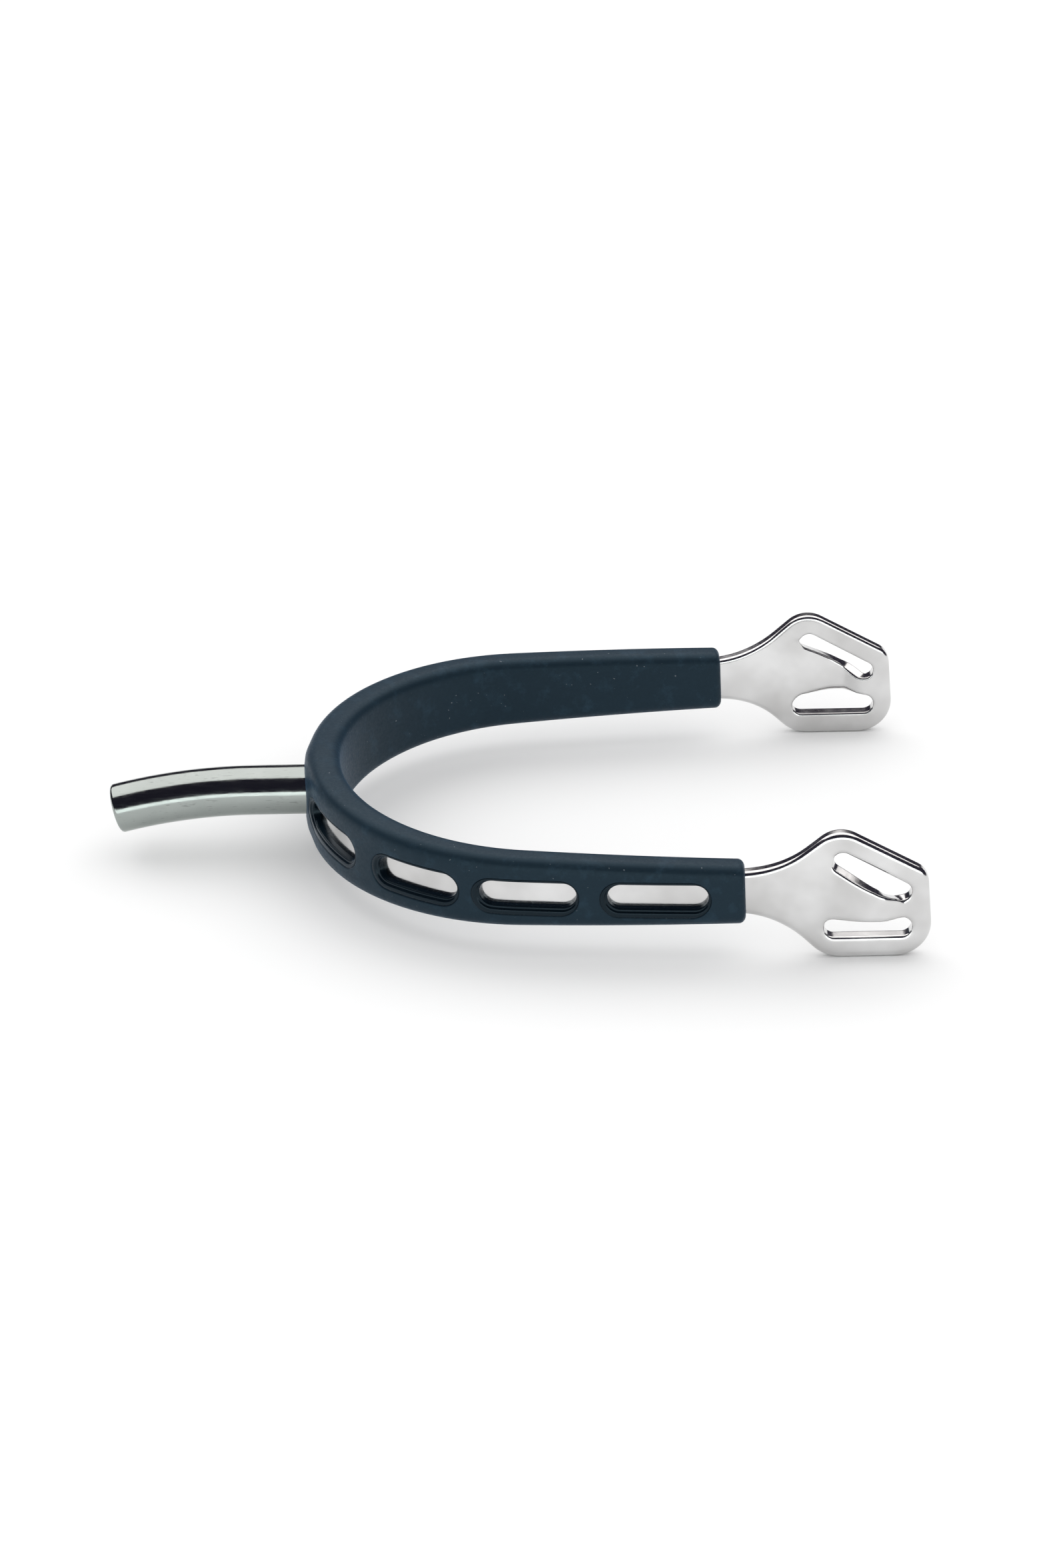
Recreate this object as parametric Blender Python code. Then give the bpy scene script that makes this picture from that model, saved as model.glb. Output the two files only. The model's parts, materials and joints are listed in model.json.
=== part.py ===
"""A riding spur: a flat steel heel band with two strap loops, a curved round neck and a moulded rubber cover.

The band and its cover are drawn flat, as plates in a frame of arc length, outward offset and height,
and are then bent round the heel. Arc length is 0 at the back of the heel and positive on the +Y branch.
"""

import math

import bmesh
import bpy
from mathutils import Vector

MM = 0.001

# Plan curve of the band's middle line
HEEL_RADIUS = 39.155 * MM
HEEL_ANGLE = math.radians(83.43)  # each side turns this far on HEEL_RADIUS
BRANCH_RADIUS = 485.0 * MM  # then bows gently until it runs straight ahead
HEEL_ARC = HEEL_RADIUS * HEEL_ANGLE
BRANCH_ARC = BRANCH_RADIUS * (math.pi / 2 - HEEL_ANGLE)

# Heel band and loops
BAND_THICKNESS = 2.7 * MM
BAND_EDGE = 0.5 * MM
BACK_HALF_HEIGHT = 6.62 * MM
BACK_BLEND_RADIUS = 60.0 * MM
LOOP_JOGGLE = 1.25 * MM  # the loops stand this much further out than the covered band
JOGGLE_ARC = (94.0 * MM, 111.0 * MM)

# Corners of one loop: distance ahead of the back of the heel, height, fillet radius
LOOP_CORNERS = (
    (79.0 * MM, -3.84 * MM, 16.5 * MM),
    (87.5 * MM, -12.2 * MM, 7.0 * MM),
    (106.4 * MM, -12.2 * MM, 6.3 * MM),
    (105.3 * MM, 4.27 * MM, 3.7 * MM),
    (89.4 * MM, 13.3 * MM, 5.3 * MM),
    (78.5 * MM, 3.84 * MM, 18.5 * MM),
)
# Strap slots: centre of each round end, radius
UPPER_SLOT = ((90.35 * MM, 6.72 * MM), (100.7 * MM, 0.69 * MM), 1.72 * MM)
LOWER_SLOT = ((89.15 * MM, -6.35 * MM), (100.75 * MM, -6.35 * MM), 1.85 * MM)
# The web between the slots bows outwards, so that the strap passes behind it
WEB_BOW = 2.15 * MM
WEB_RISE = (86.0 * MM, 95.5 * MM)
WEB_FALL = (96.8 * MM, 101.4 * MM)

# Neck
NECK_RADIUS = 4.5 * MM
NECK_STRAIGHT_END = -13.0 * MM
NECK_BEND_RADIUS = 97.0 * MM
NECK_BEND_LENGTH = 25.1 * MM
NECK_TIP_EDGE = 0.7 * MM
TENON_RADIUS = 2.5 * MM
TENON_EDGE = 0.3 * MM

# Rubber cover
COVER_THICKNESS = 5.9 * MM
COVER_BACK_HALF_HEIGHT = 8.27 * MM
COVER_TAPER = 0.0273  # half height lost per unit of arc length
COVER_CORNER = 2.15 * MM
COVER_END = 96.1 * MM
COVER_END_SLANT = 0.03
COVER_SLANT_POWER = 7  # the slant sets in close to the ends
COVER_END_EDGE = 0.9 * MM
TUNNEL_CORNER = 0.4 * MM
BOSS_HEIGHT = 0.6 * MM  # the rubber stands up round the neck
BOSS_FLARE = (4.3 * MM, 9.5 * MM)  # distances from the neck's axis where the boss starts and ends

# Windows of one branch: first and last arc length of the outer rim
WINDOWS = (
    (6.0 * MM, 25.7 * MM),
    (29.6 * MM, 47.0 * MM),
    (48.95 * MM, 67.4 * MM),
    (70.9 * MM, 90.25 * MM),
)
WINDOW_RIM_HEIGHTS = (-3.95 * MM, 3.05 * MM)
WINDOW_OPENING_HEIGHTS = (-2.33 * MM, 2.36 * MM)
WINDOW_OPENING_INSETS = (1.35 * MM, 0.5 * MM)  # from the rim's end towards the heel, and at its other end
WINDOW_LIP_DEPTH = 0.5 * MM
WINDOW_OVERSHOOT = 0.5 * MM  # the cutter reaches this far out of the rubber

GAP = 0.3 * MM
POINT_SPACING = 2.9 * MM
SLOT_SPACING = 1.5 * MM
WINDOW_STRAIGHT_STEPS = 5
ARC_STEP = math.radians(15)
FINE_ARC_STEP = math.radians(6)
FINE_ARC_RADIUS = 10.0 * MM
NECK_SIDES = 32
CORNER_STEPS = 3
FACE_SHARES = (-0.9, -0.55, -0.2, 0.2, 0.55, 0.9)  # rows of points on the outer face, for the boss
SHARP_ANGLE = math.radians(30)

STEEL = ((0.62, 0.62, 0.60), 1.0, 0.18)
NECK_STEEL = ((0.55, 0.56, 0.53), 1.0, 0.14)
RUBBER = ((0.015, 0.026, 0.038), 0.0, 0.5)


def clear_scene():
    for old in list(bpy.data.objects):
        bpy.data.objects.remove(old)


def smooth_step(value, limits):
    share = min(max((value - limits[0]) / (limits[1] - limits[0]), 0.0), 1.0)
    return share * share * (3 - 2 * share)


def plan_curve(arc_length):
    """Distance ahead, distance aside and turning angle at an arc length counted along one branch."""
    heel_angle = min(arc_length, HEEL_ARC) / HEEL_RADIUS
    bowed = min(max(arc_length - HEEL_ARC, 0.0), BRANCH_ARC)
    angle = heel_angle + bowed / BRANCH_RADIUS
    straight = max(arc_length - HEEL_ARC - BRANCH_ARC, 0.0)
    ahead = HEEL_RADIUS * (1 - math.cos(heel_angle)) + straight
    aside = HEEL_RADIUS * math.sin(heel_angle)
    if bowed:
        ahead += BRANCH_RADIUS * (math.cos(HEEL_ANGLE) - math.cos(angle))
        aside += BRANCH_RADIUS * (math.sin(angle) - math.sin(HEEL_ANGLE))
    return ahead, aside, angle


def bend(flat):
    """The place in the bent spur of a point given as arc length, outward offset and height."""
    ahead, aside, angle = plan_curve(abs(flat.x))
    side = math.copysign(1, flat.x)
    x = ahead - math.cos(angle) * flat.y
    y = side * (aside + math.sin(angle) * flat.y)
    return Vector((x, y, flat.z))


STRAIGHT_ARC = HEEL_ARC + BRANCH_ARC
LOOP_LEAD = STRAIGHT_ARC - plan_curve(STRAIGHT_ARC)[0]  # arc length minus distance ahead, in a loop


def direction_points(centre, radius, start, end, step):
    """Points of an arc, each with the normal to the left of the path, which runs from start to end."""
    turn = end - start
    count = max(1, math.ceil(abs(turn) / step))
    points = []
    for i in range(count + 1):
        heading = start + turn * i / count
        left = Vector((-math.sin(heading), math.cos(heading)))
        points.append((centre - math.copysign(radius, turn) * left, left))
    return points


def straight_points(start, end, left, spacing):
    """The points between two ends of a straight run, without the ends."""
    count = max(1, round((end - start).length / spacing))
    return [(start.lerp(end, i / count), left) for i in range(1, count)]


def join_runs(arcs, spacing):
    """A closed outline through arcs that are joined by straight runs."""
    outline = []
    for arc, following in zip(arcs, arcs[1:] + arcs[:1]):
        outline += arc
        outline += straight_points(arc[-1][0], following[0][0], arc[-1][1], spacing)
    return outline


def rounded_polygon(corners):
    """A closed outline from corners with fillet radii, in an order that keeps the material on the left."""
    arcs = []
    for i, (x, z, radius) in enumerate(corners):
        here = Vector((x, z))
        before = here - Vector(corners[i - 1][:2])
        after = Vector(corners[(i + 1) % len(corners)][:2]) - here
        start = math.atan2(before.y, before.x)
        turn = -before.angle_signed(after)
        tangent = here - before.normalized() * radius * math.tan(abs(turn) / 2)
        left = Vector((-math.sin(start), math.cos(start)))
        centre = tangent + math.copysign(radius, turn) * left
        step = FINE_ARC_STEP if radius > FINE_ARC_RADIUS else ARC_STEP
        arcs.append(direction_points(centre, radius, start, start + turn, step))
    return join_runs(arcs, POINT_SPACING)


def slot_outline(first, last, radius, spacing):
    """A round-ended slot, walked clockwise, so that the material is on the left."""
    first, last = Vector(first), Vector(last)
    along = last - first
    heading = math.atan2(along.y, along.x)
    arcs = [
        direction_points(last, radius, heading, heading - math.pi, ARC_STEP),
        direction_points(first, radius, heading - math.pi, heading - 2 * math.pi, ARC_STEP),
    ]
    return join_runs(arcs, spacing)


def mirrored(outline):
    """The same outline on the other branch, walked so that the material stays on the left."""
    return [(Vector((-p.x, p.y)), Vector((-n.x, n.y))) for p, n in reversed(outline)]


def in_loop(point):
    """A loop's point given by its distance ahead, as a point given by its arc length."""
    return point[0] + LOOP_LEAD, point[1]


def band_rim():
    """Outline of the flat blank: the tapering band with a loop at each end."""
    right = [(*in_loop(corner), corner[2]) for corner in LOOP_CORNERS]
    left = [(-s, z, radius) for s, z, radius in reversed(right)]
    bottom = (0.0, -BACK_HALF_HEIGHT, BACK_BLEND_RADIUS)
    top = (0.0, BACK_HALF_HEIGHT, BACK_BLEND_RADIUS)
    return rounded_polygon([bottom, *right, top, *left])


def band_holes():
    """The strap slots of both loops and the round hole for the neck's tenon."""
    holes = []
    for first, last, radius in (UPPER_SLOT, LOWER_SLOT):
        slot = slot_outline(in_loop(first), in_loop(last), radius, SLOT_SPACING)
        holes += [slot, mirrored(slot)]
    hole_radius = TENON_RADIUS + GAP
    holes.append(direction_points(Vector((0, 0)), hole_radius, 0, -2 * math.pi, ARC_STEP)[:-1])
    return holes


def slot_middle_height(slot, ahead):
    """Height of a slot's middle line at a distance ahead."""
    (x0, z0), (x1, z1), _ = slot
    return z0 + (z1 - z0) * (ahead - x0) / (x1 - x0)


def stand_out(arc_length, height):
    """How far the steel stands outside the plan curve: the loops' joggle and the bowed web."""
    length = abs(arc_length)
    ahead = length - LOOP_LEAD
    offset = LOOP_JOGGLE * smooth_step(length, JOGGLE_ARC)
    above = slot_middle_height(LOWER_SLOT, ahead)
    below = slot_middle_height(UPPER_SLOT, ahead)
    if above < height < below:
        offset += WEB_BOW * smooth_step(ahead, WEB_RISE) * (1 - smooth_step(ahead, WEB_FALL))
    return offset


def add_ring(mesh, outline, inset, offset):
    """A ring of vertices on an outline moved towards the material, in the flat frame."""
    ring = []
    for point, towards_material in outline:
        s, z = point + towards_material * inset
        ring.append(mesh.verts.new((s, offset, z)))
    return ring


def bridge(mesh, first, second):
    """Faces between two rings that have the same number of vertices."""
    for i, vertex in enumerate(first):
        j = (i + 1) % len(first)
        mesh.faces.new((vertex, first[j], second[j], second[i]))


def fill(mesh, rings):
    """Triangles over the area inside the first ring and outside the others."""
    edges = []
    for ring in rings:
        for i, vertex in enumerate(ring):
            edges.append(mesh.edges.get((vertex, ring[i - 1])))
    bmesh.ops.triangle_fill(mesh, use_beauty=True, use_dissolve=False, edges=edges)


def add_object(name, mesh, material, root):
    """An object from a bmesh, with its faces turned outwards, placed under the root."""
    bmesh.ops.recalc_face_normals(mesh, faces=mesh.faces)
    if mesh.calc_volume(signed=True) < 0:
        bmesh.ops.reverse_faces(mesh, faces=mesh.faces)
    data = bpy.data.meshes.new(name)
    mesh.to_mesh(data)
    mesh.free()
    data.shade_smooth()
    data.set_sharp_from_angle(angle=SHARP_ANGLE)
    piece = bpy.data.objects.new(name, data)
    bpy.context.scene.collection.objects.link(piece)
    piece.parent = root
    if material:
        data.materials.append(material)
    return piece


def make_material(name, look):
    colour, metallic, roughness = look
    material = bpy.data.materials.new(name)
    material.use_nodes = True
    shader = material.node_tree.nodes["Principled BSDF"]
    shader.inputs["Base Color"].default_value = (*colour, 1)
    shader.inputs["Metallic"].default_value = metallic
    shader.inputs["Roughness"].default_value = roughness
    return material


def make_heel_band(root):
    """The steel band: a chamfered plate with its slots, bowed at the webs and bent round the heel."""
    mesh = bmesh.new()
    outlines = [band_rim(), *band_holes()]
    half = BAND_THICKNESS / 2
    layers = ((BAND_EDGE, half), (0, half - BAND_EDGE), (0, BAND_EDGE - half), (BAND_EDGE, -half))
    outer_rings, inner_rings = [], []
    for outline in outlines:
        rings = [add_ring(mesh, outline, inset, offset) for inset, offset in layers]
        for first, second in zip(rings, rings[1:]):
            bridge(mesh, first, second)
        outer_rings.append(rings[0])
        inner_rings.append(rings[-1])
    fill(mesh, outer_rings)
    fill(mesh, inner_rings)
    for vertex in mesh.verts:
        flat = vertex.co
        flat.y += stand_out(flat.x, flat.z)
        vertex.co = bend(flat)
    return add_object("heel_band", mesh, make_material("polished_steel", STEEL), root)


def add_circle(mesh, centre, heading, radius):
    """A ring round a point of the neck's axis, which lies in the XZ plane and runs backwards."""
    up = Vector((-math.sin(heading), 0, math.cos(heading)))
    side = Vector((0, 1, 0))
    ring = []
    for i in range(NECK_SIDES):
        angle = 2 * math.pi * i / NECK_SIDES
        ring.append(mesh.verts.new(centre + radius * (math.cos(angle) * side + math.sin(angle) * up)))
    return ring


def neck_axis(length):
    """Point and downward heading at a length along the bend of the neck."""
    heading = length / NECK_BEND_RADIUS
    x = NECK_STRAIGHT_END - NECK_BEND_RADIUS * math.sin(heading)
    z = -NECK_BEND_RADIUS * (1 - math.cos(heading))
    return Vector((x, 0, z)), heading


def make_neck(root):
    """The round neck: a tenon through the band, a short straight and a bend down to the flat tip."""
    mesh = bmesh.new()
    shoulder = Vector((-BAND_THICKNESS / 2 - GAP, 0, 0))
    tenon_end = Vector((BAND_THICKNESS / 2, 0, 0))
    step_back = Vector((-TENON_EDGE, 0, 0))
    rings = [
        add_circle(mesh, tenon_end, 0, TENON_RADIUS - TENON_EDGE),
        add_circle(mesh, tenon_end + step_back, 0, TENON_RADIUS),
        add_circle(mesh, shoulder, 0, TENON_RADIUS),
        add_circle(mesh, shoulder, 0, NECK_RADIUS),
    ]
    steps = math.ceil(NECK_BEND_LENGTH / POINT_SPACING)
    for i in range(steps + 1):
        length = (NECK_BEND_LENGTH - NECK_TIP_EDGE) * i / steps
        rings.append(add_circle(mesh, *neck_axis(length), NECK_RADIUS))
    rings.append(add_circle(mesh, *neck_axis(NECK_BEND_LENGTH), NECK_RADIUS - NECK_TIP_EDGE))
    for first, second in zip(rings, rings[1:]):
        bridge(mesh, first, second)
    mesh.faces.new(rings[0])
    mesh.faces.new(rings[-1])
    for vertex in mesh.verts:
        vertex.co -= shoulder
    neck = add_object("neck", mesh, make_material("neck_steel", NECK_STEEL), root)
    neck.location = shoulder
    return neck


def rounded_section(half_width, half_height, radius):
    """Points of a rounded rectangle as offset and height pairs, from the outer face's rows onwards."""
    section = [(half_width, share * (half_height - radius)) for share in FACE_SHARES]
    for quarter in range(4):
        for i in range(CORNER_STEPS + 1):
            angle = math.pi / 2 * (quarter + i / CORNER_STEPS)
            across = math.cos(angle) * radius
            up = math.sin(angle) * radius
            sign_x = 1 if quarter in (0, 3) else -1
            sign_z = 1 if quarter in (0, 1) else -1
            section.append((sign_x * (half_width - radius) + across, sign_z * (half_height - radius) + up))
    return section


def cover_half_height(arc_length):
    return COVER_BACK_HALF_HEIGHT - COVER_TAPER * abs(arc_length)


def add_section(mesh, arc_length, section, slant):
    """A ring of the flat cover. Its lower side reaches further along by the slant."""
    return [mesh.verts.new((arc_length - slant * z, offset, z)) for offset, z in section]


def cover_stations():
    """Arc length, edge inset and slant of each ring, from one end of the cover to the other."""
    inner_end = COVER_END - COVER_END_EDGE
    count = math.ceil(2 * inner_end / POINT_SPACING)
    middle = [inner_end * (2 * i / count - 1) for i in range(count + 1)]
    stations = [(-COVER_END, COVER_END_EDGE), *((s, 0) for s in middle), (COVER_END, COVER_END_EDGE)]
    return [(s, inset, COVER_END_SLANT * (s / COVER_END) ** COVER_SLANT_POWER) for s, inset in stations]


def raise_boss(vertex):
    """Moves a point of the flat cover or a window cutter out with the boss that flares round the neck."""
    distance = math.hypot(vertex.co.x, vertex.co.z)
    share = smooth_step(vertex.co.y, (BAND_THICKNESS / 2 + GAP, COVER_THICKNESS / 2))
    vertex.co.y += BOSS_HEIGHT * share * (1 - smooth_step(distance, BOSS_FLARE))


def cover_tube():
    """The closed flat cover with its tunnel, already bent round the heel."""
    mesh = bmesh.new()
    outer_rings, tunnel_rings = [], []
    for arc_length, inset, slant in cover_stations():
        height = cover_half_height(arc_length)
        outer = rounded_section(COVER_THICKNESS / 2 - inset, height - inset, COVER_CORNER - inset / 2)
        wall = COVER_BACK_HALF_HEIGHT - BACK_HALF_HEIGHT - GAP
        tunnel = rounded_section(BAND_THICKNESS / 2 + GAP, height - wall, TUNNEL_CORNER)
        outer_rings.append(add_section(mesh, arc_length, outer, slant))
        tunnel_rings.append(add_section(mesh, arc_length, tunnel, slant))
    for rings in (outer_rings, tunnel_rings):
        for first, second in zip(rings, rings[1:]):
            bridge(mesh, first, second)
    bridge(mesh, outer_rings[0], tunnel_rings[0])
    bridge(mesh, outer_rings[-1], tunnel_rings[-1])
    for vertex in mesh.verts:
        raise_boss(vertex)
        vertex.co = bend(vertex.co)
    return mesh


def window_outline(first, last, heights):
    """A round-ended outline between two arc lengths and two heights, always with as many points."""
    radius = (heights[1] - heights[0]) / 2
    middle = sum(heights) / 2
    spacing = (last - first - 2 * radius) / WINDOW_STRAIGHT_STEPS
    outline = slot_outline((first + radius, middle), (last - radius, middle), radius, spacing)
    return [point for point, _ in outline]


def window_cutter(start, end):
    """A round-ended plug with a flared lip, bent like the cover, that opens one window to the tunnel."""
    mesh = bmesh.new()
    first, last = sorted((start, end))
    insets = WINDOW_OPENING_INSETS if start > 0 else WINDOW_OPENING_INSETS[::-1]
    rim = window_outline(first, last, WINDOW_RIM_HEIGHTS)
    opening = window_outline(first + insets[0], last - insets[1], WINDOW_OPENING_HEIGHTS)
    face = COVER_THICKNESS / 2
    layers = (
        (1.0, BAND_THICKNESS / 2),
        (1.0, face - WINDOW_LIP_DEPTH),
        (-WINDOW_OVERSHOOT / WINDOW_LIP_DEPTH, face + WINDOW_OVERSHOOT),
    )
    rings = []
    for share, offset in layers:
        points = [outer.lerp(inner, share) for outer, inner in zip(rim, opening)]
        rings.append([mesh.verts.new((s, offset, z)) for s, z in points])
    for low, high in zip(rings, rings[1:]):
        bridge(mesh, low, high)
    fill(mesh, rings[:1])
    fill(mesh, rings[-1:])
    for vertex in mesh.verts:
        raise_boss(vertex)
        vertex.co = bend(vertex.co)
    side = "left" if start > 0 else "right"
    return f"window_cutter_{side}_{round(abs(start) / MM)}", mesh


def neck_cutter():
    """A round plug that lets the neck through the cover's outer wall."""
    mesh = bmesh.new()
    depth = Vector((-COVER_THICKNESS - BOSS_HEIGHT, 0, 0))
    rings = [add_circle(mesh, start, 0, NECK_RADIUS + GAP) for start in (Vector(), depth)]
    bridge(mesh, rings[0], rings[1])
    mesh.faces.new(rings[0])
    mesh.faces.new(rings[1])
    return "neck_cutter", mesh


def cut(piece, cutter):
    """A Boolean difference that stays on the piece, with the cutter left out of renders."""
    cutter.hide_render = True
    cutter.display_type = "WIRE"
    modifier = piece.modifiers.new(cutter.name, "BOOLEAN")
    modifier.operation = "DIFFERENCE"
    modifier.solver = "EXACT"
    modifier.object = cutter


def make_rubber_cover(root):
    """The moulded rubber cover, with windows to the steel along the outer face of each branch."""
    cover = add_object("rubber_cover", cover_tube(), make_material("rubber", RUBBER), root)
    plugs = [neck_cutter()]
    for start, end in WINDOWS:
        plugs.append(window_cutter(start, end))
        plugs.append(window_cutter(-start, -end))
    for name, mesh in plugs:
        cut(cover, add_object(name, mesh, None, root))
    return cover


def stand_on_base(root, pieces):
    """Moves the root so that the world origin is the middle of the spur's footprint, on its lowest point."""
    bpy.context.view_layer.update()
    points = [piece.matrix_world @ vertex.co for piece in pieces for vertex in piece.data.vertices]
    xs = [point.x for point in points]
    root.location = (-(min(xs) + max(xs)) / 2, 0, -min(point.z for point in points))


def main():
    clear_scene()
    root = bpy.data.objects.new("spur", None)
    bpy.context.scene.collection.objects.link(root)
    pieces = [make_heel_band(root), make_neck(root), make_rubber_cover(root)]
    stand_on_base(root, pieces)


main()
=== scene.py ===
"""A polished riding spur with a windowed rubber cover, on a pale studio floor."""

import json
import math

import bmesh
import bpy
import numpy as np
from mathutils import Matrix, Vector
from mathutils.geometry import delaunay_2d_cdt

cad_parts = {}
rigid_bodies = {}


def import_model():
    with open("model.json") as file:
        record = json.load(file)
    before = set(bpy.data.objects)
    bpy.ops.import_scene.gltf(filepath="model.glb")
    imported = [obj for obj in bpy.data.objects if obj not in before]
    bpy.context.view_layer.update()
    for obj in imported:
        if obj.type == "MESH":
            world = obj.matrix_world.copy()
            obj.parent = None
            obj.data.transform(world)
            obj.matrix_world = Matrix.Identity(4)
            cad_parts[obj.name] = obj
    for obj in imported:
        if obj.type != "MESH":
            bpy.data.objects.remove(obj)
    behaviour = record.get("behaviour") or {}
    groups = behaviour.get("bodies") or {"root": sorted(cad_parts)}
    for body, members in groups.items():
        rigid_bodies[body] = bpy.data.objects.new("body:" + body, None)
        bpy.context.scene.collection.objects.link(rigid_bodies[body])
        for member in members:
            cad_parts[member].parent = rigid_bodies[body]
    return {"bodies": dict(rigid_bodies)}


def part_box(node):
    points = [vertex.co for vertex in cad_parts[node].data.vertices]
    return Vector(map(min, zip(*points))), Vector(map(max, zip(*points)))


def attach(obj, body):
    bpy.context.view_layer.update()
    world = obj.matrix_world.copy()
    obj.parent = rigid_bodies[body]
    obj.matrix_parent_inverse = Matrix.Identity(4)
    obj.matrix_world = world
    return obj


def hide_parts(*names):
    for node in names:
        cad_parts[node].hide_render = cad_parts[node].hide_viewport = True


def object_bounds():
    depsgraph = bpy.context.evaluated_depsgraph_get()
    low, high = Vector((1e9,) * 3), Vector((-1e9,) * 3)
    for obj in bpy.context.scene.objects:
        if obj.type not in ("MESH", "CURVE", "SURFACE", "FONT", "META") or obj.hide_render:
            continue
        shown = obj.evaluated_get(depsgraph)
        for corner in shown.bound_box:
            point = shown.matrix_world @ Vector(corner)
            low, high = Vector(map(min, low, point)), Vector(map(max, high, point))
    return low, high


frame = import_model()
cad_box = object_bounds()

MM = 0.001
BODY = next(iter(frame["bodies"]))

# Plan curve of the band's middle line. Arc length is 0 at the back of the heel, positive on the +Y branch.
HEEL_RADIUS = 39.155 * MM
HEEL_ANGLE = math.radians(83.43)
BRANCH_RADIUS = 485.0 * MM
HEEL_ARC = HEEL_RADIUS * HEEL_ANGLE
BRANCH_ARC = BRANCH_RADIUS * (math.pi / 2 - HEEL_ANGLE)
STRAIGHT_ARC = HEEL_ARC + BRANCH_ARC

# Heel band
BAND_THICKNESS = 2.7 * MM
BACK_HALF_HEIGHT = 6.62 * MM
BACK_BLEND_RADIUS = 60.0 * MM
LOOP_JOGGLE = 1.25 * MM
JOGGLE_ARC = (94.0 * MM, 111.0 * MM)
LOOP_BOTTOM = -12.2 * MM

# Corners of one loop: distance ahead of the back of the heel, height, fillet radius
LOOP_CORNERS = (
    (79.0 * MM, -3.84 * MM, 16.5 * MM),
    (87.5 * MM, LOOP_BOTTOM, 7.0 * MM),
    (106.4 * MM, LOOP_BOTTOM, 6.3 * MM),
    (105.3 * MM, 4.27 * MM, 3.7 * MM),
    (89.4 * MM, 13.3 * MM, 5.3 * MM),
    (78.5 * MM, 3.84 * MM, 18.5 * MM),
)
# Strap slots: centre of each round end, radius
UPPER_SLOT = ((90.35 * MM, 6.72 * MM), (100.7 * MM, 0.69 * MM), 1.72 * MM)
LOWER_SLOT = ((89.15 * MM, -6.35 * MM), (100.75 * MM, -6.35 * MM), 1.85 * MM)
WEB_BOW = 2.15 * MM
WEB_RISE = (86.0 * MM, 95.5 * MM)
WEB_FALL = (96.8 * MM, 101.4 * MM)
WEB_FADE = 1.7 * MM  # the bow fades out this close to a slot's middle line
WEB_EDGE_FACING = (0.2, 0.9)  # upward share of an edge's normal over which it takes the web's rounding

# Rounded rims of the band: radii of a tight edge and of the soft buffed crown that it runs out in
CROWN_ANGLE = math.radians(24)
OUTER_RIM = (0.8 * MM, 2.2 * MM)
INNER_RIM = (0.6 * MM, 1.6 * MM)
OUTER_SLOT_RIM = (0.4 * MM, 1.8 * MM)
INNER_SLOT_RIM = (0.35 * MM, 1.0 * MM)
WEB_RIM = (1.15 * MM, 2.0 * MM)  # the web's lower edge is rounded all the way, for the strap
WALL_SUPPORT = 0.1 * MM  # a ring this far down the wall keeps the shading of the wall flat
TIGHT_STEPS = 7
CROWN_STEPS = 5

# Neck
NECK_RADIUS = 4.5 * MM
NECK_STRAIGHT_END = -13.0 * MM
NECK_BEND_RADIUS = 97.0 * MM
NECK_BEND_LENGTH = 25.1 * MM
NECK_TIP_EDGE = 0.7 * MM
NECK_TIP_FACE = (0.75, 0.45, 0.15)  # rings across the flat tip, as shares of its radius
NECK_SHOULDER_EDGE = 0.2 * MM
NECK_SHOULDER_SUPPORT = 1.0 * MM
NECK_SIDES = 96
NECK_RINGS = 56
NECK_TIP_STEPS = 7
TENON_RADIUS = 2.5 * MM
TENON_EDGE = 0.3 * MM

# Rubber cover
COVER_THICKNESS = 5.9 * MM
COVER_BACK_HALF_HEIGHT = 8.27 * MM
COVER_TAPER = 0.0273
COVER_CORNER = 2.15 * MM
COVER_END = 96.1 * MM
COVER_END_SLANT = 0.03
COVER_SLANT_POWER = 7  # keeps the slant to the ends
COVER_END_EDGE = 1.2 * MM
COVER_STATIONS = 150
END_STEPS = 6  # rings in the rounding of each end
END_ROWS = END_STEPS + 1
SNUG = 0.02 * MM  # clearance between the rubber and the steel inside it
TUNNEL_WALL = COVER_BACK_HALF_HEIGHT - BACK_HALF_HEIGHT - SNUG
TUNNEL_CORNER = 0.45 * MM
FACE_RIM = math.radians(25)  # how far round its corners a face reaches
FACE_SHARES = (-0.68, -0.45, -0.15, 0.15, 0.45, 0.68)  # heights of a face's points, of its half height

BOSS_HEIGHT = 0.6 * MM
BOSS_FLARE = (4.3 * MM, 9.5 * MM)  # distances from the neck's axis where the boss starts and ends
# Section through the softened mouth of the neck's hole: gap round the neck and depth, in millimetres
NECK_HOLE_SECTION = ((0.45, 0.0), (0.22, 0.05), (0.09, 0.18), (0.04, 0.4))
NECK_HOLE_GAP = 0.03 * MM
NECK_HOLE_SIDES = 64

# Windows of one branch: first and last arc length of the outer rim
WINDOWS = (
    (6.0 * MM, 25.7 * MM),
    (29.6 * MM, 47.0 * MM),
    (48.95 * MM, 67.4 * MM),
    (70.9 * MM, 90.25 * MM),
)
WINDOW_RIM_HEIGHTS = (-3.95 * MM, 3.05 * MM)
WINDOW_OPENING_HEIGHTS = (-2.33 * MM, 2.36 * MM)
# How far the opening lies in from the rim, at the end towards the heel and at the other end
WINDOW_OPENING_INSETS = (1.35 * MM, 0.5 * MM)
WINDOW_DRAFT = 0.03  # share by which the wall below the lip leans further in
WINDOW_STRAIGHT_STEPS = 18
WELL = "well_gloss_and_shade"  # a mesh attribute, 1 on the smooth, glossy lip and wall inside a window; it also brings in painted shade, a near-black colour for the shade in the recess
WELL_EDGE = (-0.1, 0.08)  # shares of the lip's width over which the satin face turns glossy and darkens with painted shade
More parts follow.
